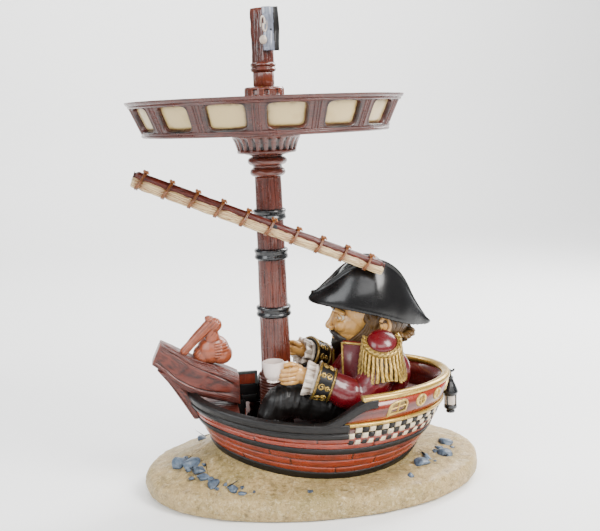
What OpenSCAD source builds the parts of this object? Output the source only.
// Figural lamp: a reclining pirate in a small boat on a sand base.
// The mast is the lamp column, and the flared gallery round its head is the shade.
// Origin: on the mast axis, in the plane that the felt rests on.
// -X is the bow, +X the stern, -Y the port side, +Z up. Millimetres.

/* [Sand base] */
// Length of the sand base, bow to stern
base_length = 316; // [300:1:380]
// Depth of the sand base, port to starboard
base_depth = 208; // [200:1:250]
// Distance from the mast axis aft to the middle of the base
base_shift = 32; // [28:1:36]
// Height of the shoulder of the sand at its outer edge
base_edge_h = 21; // [19:1:25]
// Height of the sand against the bow
sand_at_bow = 43; // [34:1:48]
// Height of the sand against the stern
sand_at_stern = 27; // [22:1:32]
// Height of the sand against the boat's side
sand_at_side = 18; // [17:0.5:21]
// Thickness of the felt under the base
felt_t = 1; // [0.8:0.1:1.5]
// Thickness of the cover plate under the base
cover_t = 3; // [2:0.5:3.5]
// Radius of each end of the wiring cavity
cavity_r = 70; // [60:1:72]
// Height at which the boat's bottom rests in the sand
bed_z = 16; // [15:0.5:16.5]
// Thickness of the sand between the wiring cavity and the boat
roof_t = 5; // [4:0.5:5.5]

/* [Hull] */
// Distance from the mast axis to the stern at the rim
stern_reach = 162.5; // [140:0.5:164]
// Distance from the mast axis to the stem at the rim
bow_reach = 81; // [76:1:86]
// Beam at the rim
beam = 152; // [140:1:160]
// How far the stern draws in from rim to keel
stern_rake = 61; // [50:1:66]
// How far the stem draws in from rim to keel
bow_rake = 50; // [40:1:56]
// How far each side draws in from rim to keel
bilge_in = 30; // [22:1:36]
// Height of the gilded stern rim
rim_z = 96; // [92:1:100]
// Height of the hull's edge amidships
sheer_z = 72; // [70:1:74]
// Rise of the hull's edge from amidships to the bow
sheer_rise = 20; // [14:1:22]
// Wall of the hull
hull_wall = 5; // [4:0.5:6]
// Height of the cockpit floor
floor_z = 48; // [44:1:52]
// Thickness of the cockpit floor
floor_t = 3; // [2:0.5:4]

/* [Mast] */
// Mast diameter at its foot
mast_foot_d = 30; // [28:0.5:32]
// Mast diameter under its turned head
mast_head_d = 23.5; // [22:0.5:25]
// Height of the top of the mast
mast_top_z = 287; // [280:1:345]
// Outside diameter of the threaded lamp tube
tube_d = 10; // [9:0.5:10]
// Wall of the lamp tube
tube_wall = 1.2; // [0.8:0.1:1.5]
// Height of each iron hoop on the mast
hoop_h = 10; // [7:0.5:12]
// How far each iron hoop stands proud of the mast
hoop_proud = 2.2; // [1.5:0.1:3]

/* [Gallery shade] */
// Outside diameter of the gallery at its top
gallery_top_d = 241; // [210:1:290]
// Outside diameter of the gallery at its bottom
gallery_bottom_d = 214; // [190:1:225]
// Height of the gallery wall
gallery_h = 30.5; // [29:0.5:36]
// Thickness of the gallery wall
gallery_wall = 4; // [3:0.5:5]
// Number of windows
window_count = 15; // [11:1:16]
// Width of each window at mid height
window_w = 31; // [26:0.5:33]
// Height of each window
window_h = 19; // [16:0.5:21]
// Thickness of the cream liner behind the windows
liner_t = 1; // [0.8:0.1:1.5]
// Diameter of the corbel at its top
corbel_top_d = 61.5; // [56:0.5:66]
// Diameter of the corbel at its foot
corbel_foot_d = 51.5; // [48:0.5:54]
// Height of the corbel
corbel_h = 17; // [14:0.5:20]

/* [Lamp parts] */
// Diameter of each bulb
bulb_d = 21; // [18:0.5:22]
// Length of each bulb's glass
bulb_len = 40; // [34:1:44]
// Outside diameter of each lampholder
holder_d = 17; // [16:0.5:18]
// Diameter of the cap of each bulb
cap_d = 11.8; // [11:0.1:12]

/* [Topmast] */
// Width of the square topmast
topmast_w = 15; // [13:0.5:16]
// Height of the topmast above its collar
topmast_h = 46; // [38:1:56]
// Diameter of the collar
collar_d = 22.5; // [20:0.5:24]

/* [Yard and sail] */
// Length of the yard
yard_len = 233; // [200:1:236]
// Slope of the yard, down towards the stern
yard_slope = 23; // [21:0.5:23]
// Diameter of the yard
yard_d = 10; // [9:0.5:11]
// Diameter of the furled sail
sail_d = 8.5; // [8:0.5:10]
// Diameter of the pin that carries the yard
yard_pin_d = 5; // [4:0.5:6]
// Height of the yard's pin
yard_pin_z = 245; // [242:1:246]
// Distance of the yard's centre line in front of the mast axis
yard_out = 31; // [30:0.5:34]

/* [Stern lantern] */
// Largest diameter of the lantern
lantern_d = 15; // [12:0.5:16]
// Height of the lantern from its eye to its foot
lantern_h = 41; // [36:1:44]
// Diameter of the arm that the lantern swings on
arm_d = 2.2; // [2:0.1:2.6]

/* [Cup] */
// Outside diameter of the cup
cup_d = 20; // [18:0.5:21]
// Height of the cup
cup_h = 20; // [17:0.5:21]
// Wall of the cup
cup_wall = 1.4; // [1:0.1:2]

/* [Inlet and switch] */
// Diameter of the hole for the cord in the inlet bushing
inlet_bore_d = 6.6; // [6:0.1:7.5]
// Travel of the switch button
button_travel = 2; // [1.5:0.5:3]

/* [Hidden] */
$fn = 64;
gap = 0.15;          // between glued faces
free_gap = 0.4;      // round a piece that is dropped into a recess
run_gap = 0.07;      // radial clearance of a running fit
rings = 72;          // steps round the hull
rim_h = 5.5;
rail_out = 3;

tube_r = tube_d / 2;
gallery_z = mast_top_z + 38;
corbel_z = gallery_z - corbel_h - gap;
floor_seat_z = gallery_z + 2;
deck_z = floor_seat_z + 3;
lamp_z = deck_z + 11.5;
holder_x = 14;
holder_len = 22;
boss_z = gallery_z + gallery_h - 4;
boss_h = 14;
topmast_z = boss_z + boss_h + 0.3;
post_low_h = 13;
collar_h = 8;
tube_top_z = topmast_z + 8;
cavity_x = [base_shift - 22, base_shift + 22];
rebate_r = cavity_r + 5;
cover_screw_r = cavity_r + 2.4;
inlet_x = 0;
switch_x = 70;
rear_hole_z = felt_t + 9.5;

// Outline of the hull: a full oval at every height, drawn in towards the keel.
function draw_in(z) = max(0, (rim_z - z) / rim_z);
function stern_x(z) = stern_reach - stern_rake * pow(draw_in(z), 1.5);
function bow_x(z) = -bow_reach + bow_rake * pow(draw_in(z), 1.4);
function half_beam(z) = beam / 2 - bilge_in * pow(draw_in(z), 2.4);
function hull_pt(t, z, off = 0) =
  let(xs = stern_x(z) + off, xb = bow_x(z) - off, b = half_beam(z) + off)
  [(xs + xb) / 2 + (xs - xb) / 2 * cos(t), b * sin(t) * (1 + 0.04 * cos(t)), z];
function flat(p) = [p[0], p[1]];
function hull_outline(z, off) = [for (i = [0:rings - 1]) flat(hull_pt(360 * i / rings, z, off))];

// Height of the hull's edge and of the painted bands, by the angle round the hull.
function toward_bow(t) = (1 - cos(t)) / 2;
function toward_stern(t) = (1 + cos(t)) / 2;
function sheer(t) = sheer_z + sheer_rise * pow(toward_bow(t), 4);
function wale_z(t) = 44 + 22 * pow(toward_bow(t), 3) + 4 * pow(toward_stern(t), 3);
function keel_band_z(t) = sand_line(t) - 2;
function sand_line(t) = sand_at_side + (sand_at_bow - sand_at_side) * pow(toward_bow(t), 3)
  + (sand_at_stern - sand_at_side) * pow(toward_stern(t), 4);

// A skin over closed sections: each section is a loop of points.
module skin(sections, whole_turn) {
  n = len(sections);
  m = len(sections[0]);
  steps = whole_turn ? n : n - 1;
  sides = [for (i = [0:steps - 1], k = [0:m - 1])
    let(j = (i + 1) % n, l = (k + 1) % m)
    each [[m * i + k, m * i + l, m * j + l], [m * i + k, m * j + l, m * j + k]]];
  first = [for (k = [1:m - 2]) [0, k + 1, k]];
  last = [for (k = [1:m - 2]) [m * (n - 1), m * (n - 1) + k, m * (n - 1) + k + 1]];
  polyhedron([for (s = sections) each s],
    whole_turn ? sides : concat(sides, first, last), convexity = 8);
}

// A strip on the hull from angle t0 to t1, between two heights and two offsets.
module strip(t0, t1, steps, low, high, off_in, off_out) {
  whole = t1 - t0 >= 360;
  count = whole ? steps : steps + 1;
  skin([for (i = [0:count - 1]) let(t = t0 + (t1 - t0) * i / steps)
    [hull_pt(t, low(t), off_in), hull_pt(t, low(t), off_out),
     hull_pt(t, high(t), off_out), hull_pt(t, high(t), off_in)]], whole);
}

// A tapered limb with round ends.
module limb(a, b, ra, rb) {
  hull() {
    translate(a) sphere(r = ra, $fn = 20);
    translate(b) sphere(r = rb, $fn = 20);
  }
}

module along(a, b) {
  d = b - a;
  l = norm(d);
  translate(a) rotate([0, acos(d[2] / l), atan2(d[1], d[0])]) children();
}

module ring(r_in, r_out, h) {
  difference() {
    cylinder(r = r_out, h = h);
    translate([0, 0, -1]) cylinder(r = r_in, h = h + 2);
  }
}

// ---------------------------------------------------------------- base
function base_pt(t, k, z) =
  [base_shift + k * base_length / 2 * cos(t),
   k * base_depth / 2 * sin(t) * (1 + 0.03 * cos(2 * t + 40)), z];

function between(a, b, k, z) = [a[0] + (b[0] - a[0]) * k, a[1] + (b[1] - a[1]) * k, z];

function sand_section(t) =
  let(line = sand_line(t), touch = hull_pt(t, line, free_gap),
      foot = hull_pt(t, bed_z, free_gap), edge = base_pt(t, 0.955, 0))
  [foot, touch,
   between(touch, edge, 0.3, line + (base_edge_h + 3 - line) * 0.35),
   between(touch, edge, 0.65, line + (base_edge_h + 3 - line) * 0.8),
   base_pt(t, 0.955, base_edge_h), base_pt(t, 0.99, base_edge_h - 4),
   base_pt(t, 1, base_edge_h * 0.5), base_pt(t, 0.985, felt_t + 3), base_pt(t, 0.96, felt_t)];

module sand_solid() {
  sections = [for (i = [0:rings - 1]) sand_section(360 * i / rings)];
  m = len(sections[0]);
  top = rings * m;
  bottom = top + 1;
  sides = [for (i = [0:rings - 1], k = [0:m - 2]) let(j = (i + 1) % rings)
    each [[m * i + k, m * j + k, m * j + k + 1], [m * i + k, m * j + k + 1, m * i + k + 1]]];
  top_fan = [for (i = [0:rings - 1]) let(j = (i + 1) % rings) [top, m * j, m * i]];
  bottom_fan = [for (i = [0:rings - 1]) let(j = (i + 1) % rings)
    [bottom, m * i + m - 1, m * j + m - 1]];
  polyhedron(concat([for (s = sections) each s], [[42, 0, bed_z], [base_shift, 0, felt_t]]),
    concat(sides, top_fan, bottom_fan), convexity = 8);
}

module stadium(r, z, h) {
  for (x = cavity_x) translate([x, 0, z]) cylinder(r = r, h = h);
  translate([cavity_x[0], -r, z]) cube([cavity_x[1] - cavity_x[0], 2 * r, h]);
}

module rear_bore(x, r, y) {
  translate([x, y, rear_hole_z]) rotate([-90, 0, 0]) cylinder(r = r, h = 60);
}

function cover_screw_at() = [for (x = [cavity_x[0] - cover_screw_r * 0.7, cavity_x[1] + cover_screw_r * 0.7],
  s = [-1, 1]) [x, s * cover_screw_r * 0.714]];

bushing_y = base_depth / 2 - 8;
bezel_y = base_depth / 2 - 11;

module sand_base() {
  color("#bca886") difference() {
    sand_solid();
    stadium(cavity_r, felt_t - 1, bed_z - roof_t - felt_t + 1);
    stadium(rebate_r + free_gap, felt_t - 1, cover_t + 1 + gap);
    translate([0, 0, felt_t]) cylinder(r = tube_r + free_gap, h = 60);
    for (p = cover_screw_at()) translate([p[0], p[1], felt_t]) cylinder(r = 1.3, h = 9);
    rear_bore(inlet_x, 5.1, cavity_r - 6);
    rear_bore(inlet_x, 6.6, bushing_y);
    rear_bore(switch_x, 6.1, cavity_r - 6);
    rear_bore(switch_x, 7.8, bezel_y);
  }
}

module felt_pad() {
  color("#3f4a3a") difference() {
    linear_extrude(felt_t - gap) polygon([for (i = [0:rings - 1]) flat(base_pt(360 * i / rings, 0.95, 0))]);
    for (p = cover_screw_at()) translate([p[0], p[1], -1]) cylinder(r = 3.6, h = 4);
  }
}

module base_cover() {
  color("#6b5844") difference() {
    stadium(rebate_r, felt_t, cover_t);
    for (p = cover_screw_at()) translate([p[0], p[1], 0]) {
      cylinder(r = 1.5, h = 9);
      translate([0, 0, felt_t - 1]) cylinder(r = 3.2, h = 2.6);
    }
  }
}

module base_cover_screws() {
  color("#9a9a98") for (p = cover_screw_at()) translate([p[0], p[1], felt_t + 0.1]) {
    cylinder(r = 2.9, h = 1.5);
    translate([0, 0, 1.2]) cylinder(r = 1.2, h = 7);
  }
}

// Stones half sunk in the sand: angle round the base, share of the way out, size.
pebbles = [[197, 0.5, 7], [206, 0.52, 5], [213, 0.62, 4.5], [189, 0.62, 6.5], [222, 0.7, 5.5],
  [232, 0.75, 5], [238, 0.85, 3.6], [262, 0.72, 3.4], [304, 0.7, 4.2], [320, 0.48, 7.2],
  [331, 0.42, 5.8], [337, 0.62, 6.5], [344, 0.5, 4], [353, 0.6, 6], [28, 0.5, 5], [150, 0.5, 5.5]];

module beach_pebbles() {
  color("#7d8894") for (p = pebbles) {
    touch = hull_pt(p[0], sand_line(p[0]), 0);
    edge = base_pt(p[0], 0.955, base_edge_h);
    at = between(touch, edge, p[1], 0);
    z = sand_line(p[0]) + (base_edge_h - sand_line(p[0])) * p[1];
    translate([at[0], at[1], z]) sphere(r = p[2], $fn = 16);
  }
}

module cord_bushing() {
  color("#1d1d1d") translate([inlet_x, 0, rear_hole_z]) rotate([-90, 0, 0]) difference() {
    union() {
      translate([0, 0, cavity_r + 1]) cylinder(r = 5, h = bushing_y - cavity_r);
      translate([0, 0, bushing_y + gap]) cylinder(r = 6.2, h = 3);
    }
    translate([0, 0, 50]) cylinder(r = inlet_bore_d / 2, h = 80);
  }
}

module switch_body() {
  color("#222222") translate([switch_x, 0, rear_hole_z]) rotate([-90, 0, 0]) difference() {
    translate([0, 0, 66]) cylinder(r = 6, h = base_depth / 2 - 7 - 66);
    translate([0, 0, 84]) cylinder(r = 4, h = 60);
  }
}

module switch_nut() {
  color("#b6b2a8") translate([switch_x, 0, rear_hole_z]) rotate([-90, 0, 0])
    translate([0, 0, bezel_y + gap]) ring(6.15, 7.4, 2.5);
}

module switch_button() {
  color("#2b2b2b") translate([switch_x, 0, rear_hole_z]) rotate([-90, 0, 0])
    translate([0, 0, 84 + button_travel + 0.5]) cylinder(r = 4 - run_gap, h = base_depth / 2 - 3 - 84 - button_travel);
}

module internal_lead() {
  lead_r = 1.6;
  color("#cfc9b6") {
    translate([inlet_x, 13, rear_hole_z - 1.4]) rotate([-90, 0, 0]) cylinder(r = lead_r, h = cavity_r - 14);
    translate([0, 0, felt_t + cover_t + 2.6]) cylinder(r = lead_r, h = lamp_z - felt_t - cover_t - 8);
  }
}

// ---------------------------------------------------------------- hull
module hull_shell() {
  levels = 6;
  color("#93432a") skin([for (i = [0:rings - 1]) let(t = 360 * i / rings, top = sheer(t))
    concat([for (k = [0:levels]) hull_pt(t, bed_z + gap + (top - bed_z - gap) * k / levels)],
      [for (k = [levels:-1:0]) hull_pt(t, bed_z + gap + (top - bed_z - gap) * k / levels, -hull_wall)])], true);
}

module hull_bottom() {
  color("#5a2c1e") difference() {
    translate([0, 0, bed_z + gap]) linear_extrude(5) polygon(hull_outline(bed_z, -hull_wall - gap));
    translate([0, 0, bed_z - 1]) cylinder(r = tube_r + free_gap, h = 9);
  }
}

module cockpit_floor() {
  color("#6d3a28") difference() {
    translate([0, 0, floor_z]) linear_extrude(floor_t) polygon(hull_outline(floor_z, -hull_wall - 0.6));
    translate([0, 0, floor_z - 1]) cylinder(r = mast_foot_d / 2 + 0.8, h = 9);
  }
}

foredeck_aft = -34;
foredeck_z = sheer_z + 3;

module foredeck() {
  color("#6d3a28") translate([0, 0, foredeck_z]) linear_extrude(4)
    polygon([for (i = [0:rings]) let(t = 132 + 96 * i / rings)
      flat(hull_pt(t, foredeck_z, -hull_wall - 0.8))]);
}

module bow_locker() {
  color("#8a2f25") translate([-42, 16.5, floor_z + floor_t + gap]) {
    cube([12, 19, foredeck_z - floor_z - floor_t - 2 * gap]);
    translate([12, 3, 6]) cube([2, 13, 12]);
  }
}

module keel_band() {
  color("#2e2725") strip(0, 360, rings, function(t) keel_band_z(t) + 2.3,
    function(t) keel_band_z(t) + 9, gap, 2.6);
}

module wale() {
  color("#2e2725") strip(0, 360, rings, function(t) wale_z(t), function(t) wale_z(t) + 6, gap, 2.4);
}

module gunwale_rail() {
  cap = 2.6;
  depth = 11;
  color("#2e2725") skin([for (i = [0:rings]) let(t = 78 + 204 * i / rings, top = sheer(t) + gap)
    [hull_pt(t, top, gap), hull_pt(t, top - depth, gap), hull_pt(t, top - depth, rail_out),
     hull_pt(t, top + cap, rail_out), hull_pt(t, top + cap, -hull_wall), hull_pt(t, top, -hull_wall)]], false);
}

module beak_log() {
  w = 25;
  color("#6e3a30") translate([0, w / 2, 0]) rotate([90, 0, 0]) linear_extrude(w)
    polygon([[-104.5, 142], [-86, 132], [-73, 124], [-47, 114], [-35, 107.5],
      [-33, foredeck_z + 4 + gap], [-62, foredeck_z + 4 + gap], [-66, sheer_z + sheer_rise + 2.8],
      [-bow_reach - rail_out - 0.4, sheer_z + sheer_rise + 2.8],
      [bow_x(70) - rail_out - 0.6, 70], [-78, 69], [-83, 78], [-89, 90], [-97, 102],
      [-105, 112], [-114, 122]]);
}

module bow_figure() {
  body_at = [-57, 0, 126];
  color("#b5754a") {
    difference() {
      translate(body_at) sphere(r = 15.5, $fn = 28);
      translate([0, 20, 0]) rotate([90, 0, 0]) linear_extrude(40)
        polygon([[-104.5, 142], [-86, 132.2], [-73, 124.2], [-47, 114.2], [-35, 107.7], [-40, 90], [-110, 90]]);
    }
    limb([-82, -8, 137], [-58, -8, 157], 4, 5.4);
  }
}

module stern_panel() {
  color("#a8472c") strip(-77.8, 77.8, rings, function(t) sheer(t) + gap, function(t) rim_z - rim_h / 2 - gap,
    -hull_wall, 0);
}

module stern_rim() {
  color("#b39a55") strip(-78, 78, rings, function(t) rim_z - rim_h / 2, function(t) rim_z + rim_h / 2,
    -hull_wall - 0.8, 2.5);
}

module stern_rail() {
  color("#b39a55") strip(-77, 77, rings, function(t) sheer(t) + 0.3, function(t) sheer(t) + 4, gap, 2.6);
}

module checker_band() {
  color("#3a3230") strip(-76, 76, rings, function(t) sheer(t) - 17, function(t) sheer(t) - 0.3, 0.3, 1.3);
}

module quarter_knees() {
  color("#2e2725") for (s = [-1, 1])
    strip(s > 0 ? 80.5 : 271.5, s > 0 ? 88.5 : 279.5, 8, function(t) sheer(t) + 3,
      function(t) sheer(t) + 3 + 19 * (1 - abs(abs(t - 180) - 99.5) / 8.2), -hull_wall - 1, rail_out - 0.5);
}

// ---------------------------------------------------------------- mast
function mast_r(z) = mast_foot_d / 2
  + (mast_head_d - mast_foot_d) / 2 * (z - mast_foot_z) / (mast_top_z - mast_foot_z);
mast_foot_z = bed_z + 5 + 2 * gap;
rope_z = [floor_z + floor_t + 8, 105];
hoop_z = [159, 212, 248];

module mast_shaft() {
  color("#6b3326") difference() {
    translate([0, 0, mast_foot_z])
      cylinder(r1 = mast_foot_d / 2, r2 = mast_head_d / 2, h = mast_top_z - mast_foot_z, $fn = 96);
    translate([0, 0, mast_foot_z - 1]) cylinder(r = tube_r + 0.3, h = mast_top_z);
    translate([0, -tube_r - 1.5, yard_pin_z]) rotate([90, 0, 0]) cylinder(r = yard_pin_d / 2 + 0.05, h = 40);
  }
}

module mast_hoops() {
  color("#222426") for (z = hoop_z) translate([0, 0, z]) difference() {
    cylinder(r = mast_r(z) + hoop_proud, h = hoop_h, $fn = 96);
    translate([0, 0, -0.01]) cylinder(r1 = mast_r(z) + gap, r2 = mast_r(z + hoop_h) + gap, h = hoop_h + 0.02, $fn = 96);
  }
}

module mast_rope() {
  pitch = 3;
  turns = floor((rope_z[1] - rope_z[0]) / pitch);
  color("#5f3322") difference() {
    union() {
      translate([0, 0, rope_z[0]]) cylinder(r = mast_foot_d / 2 + 1.2, h = turns * pitch);
      for (k = [0:turns - 1]) translate([0, 0, rope_z[0] + (k + 0.5) * pitch])
        rotate_extrude() translate([mast_foot_d / 2 + 0.8, 0]) circle(r = pitch / 2 - 0.1, $fn = 16);
    }
    translate([0, 0, rope_z[0] - 2]) cylinder(r = mast_r(rope_z[0]) + gap + 0.2, h = turns * pitch + 4);
  }
}

module mast_capital() {
  color("#7d4a35") difference() {
    translate([0, 0, mast_top_z + gap]) rotate_extrude($fn = 96) polygon([[0, 0], [13.5, 0], [16.6, 2],
      [16.6, 6], [14.6, 7.6], [14.6, 9.5], [19.5, 11], [20.2, 13.5], [20.2, 17], [17, 19],
      [17, corbel_z - mast_top_z - 2 * gap], [0, corbel_z - mast_top_z - 2 * gap]]);
    translate([0, 0, mast_top_z - 1]) cylinder(r = tube_r + 0.3, h = 40);
  }
}

module corbel() {
  staves = 14;
  color("#5f3127") difference() {
    translate([0, 0, corbel_z]) cylinder(r1 = corbel_foot_d / 2, r2 = corbel_top_d / 2, h = corbel_h, $fn = 96);
    translate([0, 0, corbel_z - 1]) cylinder(r = tube_r + 0.3, h = corbel_h + 2);
    for (k = [0:staves - 1]) rotate([0, 0, k * 360 / staves])
      translate([corbel_foot_d / 2 + 1.4, 0, corbel_z - 2])
        rotate([0, atan((corbel_top_d - corbel_foot_d) / 2 / corbel_h), 0]) cylinder(r = 1.6, h = corbel_h + 5, $fn = 16);
  }
}

// ---------------------------------------------------------------- gallery
ring_top_r = gallery_top_d / 2;
ring_foot_r = gallery_bottom_d / 2;
ring_mid_r = (ring_top_r + ring_foot_r) / 2;
flare = atan((ring_top_r - ring_foot_r) / gallery_h);
first_window = -87.5;

module gallery_ring() {
  color("#5b2f26") difference() {
    translate([0, 0, gallery_z]) rotate_extrude($fn = 180) polygon([
      [ring_foot_r - gallery_wall - 7, 0], [ring_foot_r, 0], [ring_top_r, gallery_h],
      [ring_top_r - gallery_wall, gallery_h], [ring_foot_r - gallery_wall, 2], [ring_foot_r - gallery_wall - 7, 2]]);
    for (k = [0:window_count - 1]) rotate([0, 0, first_window + k * 360 / window_count])
      translate([ring_mid_r - gallery_wall, 0, gallery_z + gallery_h / 2]) rotate([0, flare, 0])
        cube([24, window_w, window_h], center = true);
  }
}

// Radius of the wall's inner face at a height above the gallery's foot.
function wall_inner(h) = ring_foot_r - gallery_wall + (h - 2) * (ring_top_r - ring_foot_r) / (gallery_h - 2);

module window_liner() {
  low = 5.4;
  high = gallery_h - 2.5;
  // Clearance to the wall's inner face, at the liner's foot and at its top.
  foot_r = wall_inner(low) - 0.1;
  top_r = wall_inner(high) - 0.715;
  color("#cdbd98") translate([0, 0, gallery_z]) rotate_extrude($fn = 180) polygon([
    [foot_r - liner_t, low], [foot_r, low], [top_r, high], [top_r - liner_t, high]]);
}

module gallery_floor() {
  color("#6b3a2b") difference() {
    translate([0, 0, floor_seat_z + gap]) cylinder(r = ring_foot_r - gallery_wall - 0.6, h = 3 - gap, $fn = 180);
    translate([0, 0, gallery_z]) cylinder(r = tube_r + 0.3, h = 20);
  }
}

module centre_tube() {
  color("#b0975a") translate([0, 0, felt_t + cover_t + 1.5])
    ring(tube_r - tube_wall, tube_r, tube_top_z - felt_t - cover_t - 1.5);
}

module tube_nuts() {
  color("#a89058") {
    difference() {
      union() {
        translate([0, 0, bed_z - roof_t - 1.5 - gap]) cylinder(r = 11, h = 1.5);
        translate([0, 0, bed_z - roof_t - 5.5 - gap]) cylinder(r = 9, h = 4, $fn = 6);
      }
      cylinder(r = tube_r + 0.05, h = 40);
    }
    translate([0, 0, deck_z + gap]) difference() {
      cylinder(r = 9, h = 2.2, $fn = 6);
      translate([0, 0, -1]) cylinder(r = tube_r + 0.05, h = 9);
    }
  }
}

module lamp_cluster() {
  color("#e6dfcf") difference() {
    union() {
      translate([0, 0, deck_z + 2.6]) cylinder(r = 12, h = boss_z - deck_z - 3);
      for (s = [-1, 1]) translate([0, 0, lamp_z]) rotate([0, 90 * s, 0])
        cylinder(r = holder_d / 2, h = holder_x + holder_len);
    }
    translate([0, 0, deck_z]) cylinder(r = tube_r + 0.1, h = 60);
    for (s = [-1, 1]) translate([0, 0, lamp_z]) rotate([0, 90 * s, 0])
      translate([0, 0, holder_x + 2]) cylinder(r = cap_d / 2 + 0.35, h = holder_len + 9);
  }
}

module bulb(s) {
  start = holder_x + holder_len + 0.6;
  translate([0, 0, lamp_z]) rotate([0, 90 * s, 0]) rotate_extrude($fn = 48) polygon(concat(
    [[0, holder_x + 3], [cap_d / 2, holder_x + 4], [cap_d / 2, start]],
    [for (k = [0:10]) let(u = k / 10) [max(0, bulb_d / 2 * pow(sin(180 * pow(0.12 + 0.88 * u, 0.8)), 0.6)),
      start + bulb_len * u]]));
}

module bulb_fore() {
  color("#f0e4c4") bulb(-1);
}

module bulb_aft() {
  color("#f0e4c4") bulb(1);
}

module gallery_boss() {
  color("#6b3a2b") difference() {
    translate([0, 0, boss_z]) cylinder(r = 17.5, h = boss_h, $fn = 96);
    translate([0, 0, boss_z - 1]) cylinder(r = tube_r + 0.3, h = boss_h + 2);
    for (k = [0:9]) rotate([0, 0, 36 * k + 8]) translate([17.5, 0, boss_z + boss_h - 4.5])
      cube([3, 5, 3], center = true);
  }
}

module topmast() {
  color("#5f3127") difference() {
    union() {
      translate([0, 0, topmast_z]) rotate([0, 0, 22.5]) cylinder(r = 9.6, h = post_low_h, $fn = 8);
      translate([0, 0, topmast_z + post_low_h]) cylinder(r = collar_d / 2, h = collar_h);
      translate([-topmast_w / 2, -topmast_w / 2, topmast_z + post_low_h + collar_h])
        cube([topmast_w, topmast_w, topmast_h]);
    }
    translate([0, 0, topmast_z - 1]) cylinder(r = tube_r + run_gap, h = tube_top_z - topmast_z + 2.5);
  }
}

module flag() {
  z = topmast_z + post_low_h + collar_h + topmast_h - 34.5;
  color("#2a2a2c") translate([0, -topmast_w / 2 - gap, z]) {
    translate([0, -3, 0]) cube([12, 3, 35]);
    translate([9.6, -3, 0]) cube([5, 8, 35]);
  }
}

// ---------------------------------------------------------------- yard
module on_yard() {
  translate([0, -yard_out, yard_pin_z]) rotate([0, yard_slope, 0]) children();
}
yard_fore = 0.548 * yard_len;
yard_aft = yard_len - yard_fore;
sail_at = [-3.4, -4.7];

module bundle_part(d, at) {
  translate([-yard_fore, at[0], at[1]]) rotate([0, 90, 0])
    cylinder(r1 = d / 2, r2 = d / 2 * 0.84, h = yard_len);
}

module yard_pin() {
  color("#6e6a62") translate([0, -tube_r - 1.8, yard_pin_z]) rotate([90, 0, 0]) {
    cylinder(r = yard_pin_d / 2, h = yard_out - tube_r - 1.8 + yard_d / 2);
  }
}

module yard() {
  color("#6b3a2b") difference() {
    on_yard() bundle_part(yard_d, [0, 0]);
    translate([0, 0, yard_pin_z]) rotate([90, 0, 0]) cylinder(r = yard_pin_d / 2 + run_gap, h = 60);
  }
}

module furled_sail() {
  color("#d8c39a") difference() {
    on_yard() bundle_part(sail_d, sail_at);
    on_yard() bundle_part(yard_d + 0.6, [0, 0]);
    translate([0, 0, yard_pin_z]) rotate([90, 0, 0]) cylinder(r = yard_pin_d / 2 + 0.4, h = yard_out + 6);
  }
}

lashings = 10;
module sail_lashings() {
  color("#8a5524") for (k = [0:lashings - 1]) {
    u = 0.03 + 0.9 * k / (lashings - 1);
    on_yard() translate([-yard_fore + yard_len * u - 1.2, sail_at[0] / 2, sail_at[1] / 2]) rotate([0, 90, 0])
      ring(8 - 0.85 * u, 9.1 - 0.85 * u, 2.4);
  }
}

// ---------------------------------------------------------------- lantern
lantern_x = stern_reach + 4.3;
arm_z = rim_z - 3;
lantern_y = -2;

module lantern_arm() {
  color("#1f1f22") translate([stern_reach + 2.5 + gap, lantern_y, arm_z]) {
    rotate([0, 90, 0]) cylinder(r = arm_d / 2, h = 4.2);
    translate([5, 0, 0]) sphere(r = arm_d / 2 + 0.5);
  }
}

module lantern_body() {
  r = lantern_d / 2;
  color("#1c1c20") translate([lantern_x, lantern_y, arm_z]) {
    translate([-0.8, 0, 0]) rotate([0, 90, 0]) ring(arm_d / 2 + 0.1, arm_d / 2 + 1.2, 1.6);
    translate([0, 0, -lantern_h]) difference() {
      rotate_extrude() polygon([[0, 0], [r * 0.55, 0], [r * 0.6, 4], [r * 0.8, 5.5], [r * 0.8, 8.5],
        [r * 0.5, 8.5], [r * 0.5, 17.6], [r * 0.84, 17.6], [r * 0.84, 20], [r, 20], [r * 0.92, 23],
        [r * 0.35, 35], [1.5, 37], [0.9, lantern_h - arm_d / 2 - 0.6], [0, lantern_h - arm_d / 2 - 0.6]]);
    }
  }
}

module lantern_glass() {
  r = lantern_d / 2;
  color("#d6c8a8") translate([lantern_x, lantern_y, arm_z - lantern_h + 8.5 + 0.1])
    ring(r * 0.5 + 0.15, r * 0.8, 8.9);
}

// ---------------------------------------------------------------- figure
head_at = [81, 4, 155];

module hat() {
  color("#1e1d1c") difference() {
    hull() {
      translate([37, 4, 171]) sphere(r = 4.2, $fn = 16);
      for (s = [-1, 1]) {
        translate([142, 4 + 7 * s, 147]) sphere(r = 4, $fn = 16);
        translate([86, 4 + 33 * s, 164]) sphere(r = 4, $fn = 16);
        translate([88, 4 + 9 * s, 206]) sphere(r = 8, $fn = 16);
      }
    }
    translate(head_at + [0, 0, -14]) sphere(r = 33.6, $fn = 24);
  }
}

module head() {
  color("#c09a60") difference() {
    hull() {
      translate(head_at + [2, 0, 0]) sphere(r = 27, $fn = 28);
      translate(head_at + [-9, 0, -12]) sphere(r = 15, $fn = 20);
    }
    translate([-50, -50, head_at[2] + 14]) cube([300, 100, 60]);
  }
}

module hair() {
  color("#4a3a2c") difference() {
    union() {
      limb([97, 4, 150], [112, 4, 138], 27, 18);
      limb([88, 4, 145], [88, 4, 139], 28.5, 26);
    }
    translate([-50, -50, head_at[2] + 14]) cube([300, 100, 60]);
    translate([40, -50, 100]) cube([40, 100, 100]);
  }
}

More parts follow.
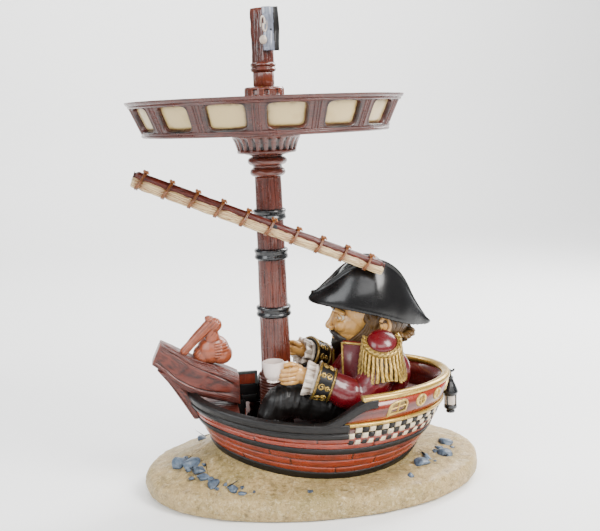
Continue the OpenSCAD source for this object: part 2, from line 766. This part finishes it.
module coat_body() {
  color("#751c28") hull() {
    translate([87, 0, 88]) sphere(r = 32, $fn = 24);
    translate([74, 0, 92]) sphere(r = 24, $fn = 20);
    for (s = [-1, 1]) translate([88, 20 * s, 112]) sphere(r = 20, $fn = 20);
  }
}

module sleeves() {
  color("#751c28") {
    limb([90, -39, 112], [72, -48, 90], 17, 15);
    limb([72, -48, 90], [54, -48, 97], 15, 13.5);
    limb([90, 39, 112], [70, 46, 98], 17, 14);
    limb([70, 46, 98], [53, 36, 106], 14, 12);
  }
}

module epaulettes() {
  color("#b39a55") for (s = [-1, 1]) translate([91, 43 * s, 105])
    cylinder(r1 = 21, r2 = 17, h = 34, $fn = 48);
}

module cuffs() {
  color("#1f1d1b") {
    along([49, -47, 101], [34, -44, 106.5]) cylinder(r1 = 15, r2 = 17.5, h = 15.5);
    along([49, 34, 107], [34, 26, 114]) cylinder(r1 = 13, r2 = 15.5, h = 15);
  }
}

module lace_cuffs() {
  color("#cfc4b8") {
    along([33.5, -43.9, 106.8], [20, -41, 111]) cylinder(r1 = 14, r2 = 15, h = 10.5);
    along([33.6, 25.6, 114.4], [22, 21, 119]) cylinder(r1 = 12, r2 = 13, h = 7.5);
  }
}

module hands() {
  color("#c49f62") {
    limb([22, -41, 110.5], [13, -37.5, 114], 8, 10);
    limb([24, 23.5, 118.5], [20, 23, 121], 7, 7);
  }
}

module trousers() {
  color("#1f1d1b") for (s = [-1, 1]) {
    limb([72, 24 * s, 72], [4, 33 * s, 87], 19, 16);
    limb([4, 33 * s, 87], [-10, 33 * s, 76], 16, 12.5);
  }
}

module boots() {
  color("#161514") for (s = [-1, 1]) difference() {
    limb([-11, 33 * s, 68], [-16, 32 * s, 62], 11, 9.5);
    translate([-60, 33 * s - 25, 0]) cube([80, 50, floor_z + floor_t + gap]);
  }
}

cup_at = [-6.5, -37, 107.5];
module cup() {
  color("#d0c4bc") translate(cup_at) difference() {
    rotate_extrude() polygon([[0, 0], [cup_d * 0.3, 0], [cup_d * 0.3, 2], [cup_d * 0.38, 4],
      [cup_d * 0.47, 8], [cup_d / 2, cup_h], [0, cup_h]]);
    translate([0, 0, 4]) cylinder(r = cup_d * 0.36 - cup_wall + 0.6, h = cup_h);
    translate([0, 0, 8.5]) cylinder(r = cup_d * 0.47 - cup_wall, h = cup_h);
  }
}

felt_pad();
base_cover();
base_cover_screws();
sand_base();
beach_pebbles();
cord_bushing();
switch_body();
switch_nut();
switch_button();
internal_lead();
hull_shell();
hull_bottom();
cockpit_floor();
foredeck();
bow_locker();
keel_band();
wale();
gunwale_rail();
beak_log();
bow_figure();
stern_panel();
stern_rim();
stern_rail();
checker_band();
quarter_knees();
mast_shaft();
mast_hoops();
mast_rope();
mast_capital();
corbel();
gallery_floor();
gallery_ring();
window_liner();
centre_tube();
tube_nuts();
lamp_cluster();
bulb_fore();
bulb_aft();
gallery_boss();
topmast();
flag();
yard_pin();
yard();
furled_sail();
sail_lashings();
lantern_arm();
lantern_body();
lantern_glass();
hat();
head();
hair();
coat_body();
sleeves();
epaulettes();
cuffs();
lace_cuffs();
hands();
trousers();
boots();
cup();
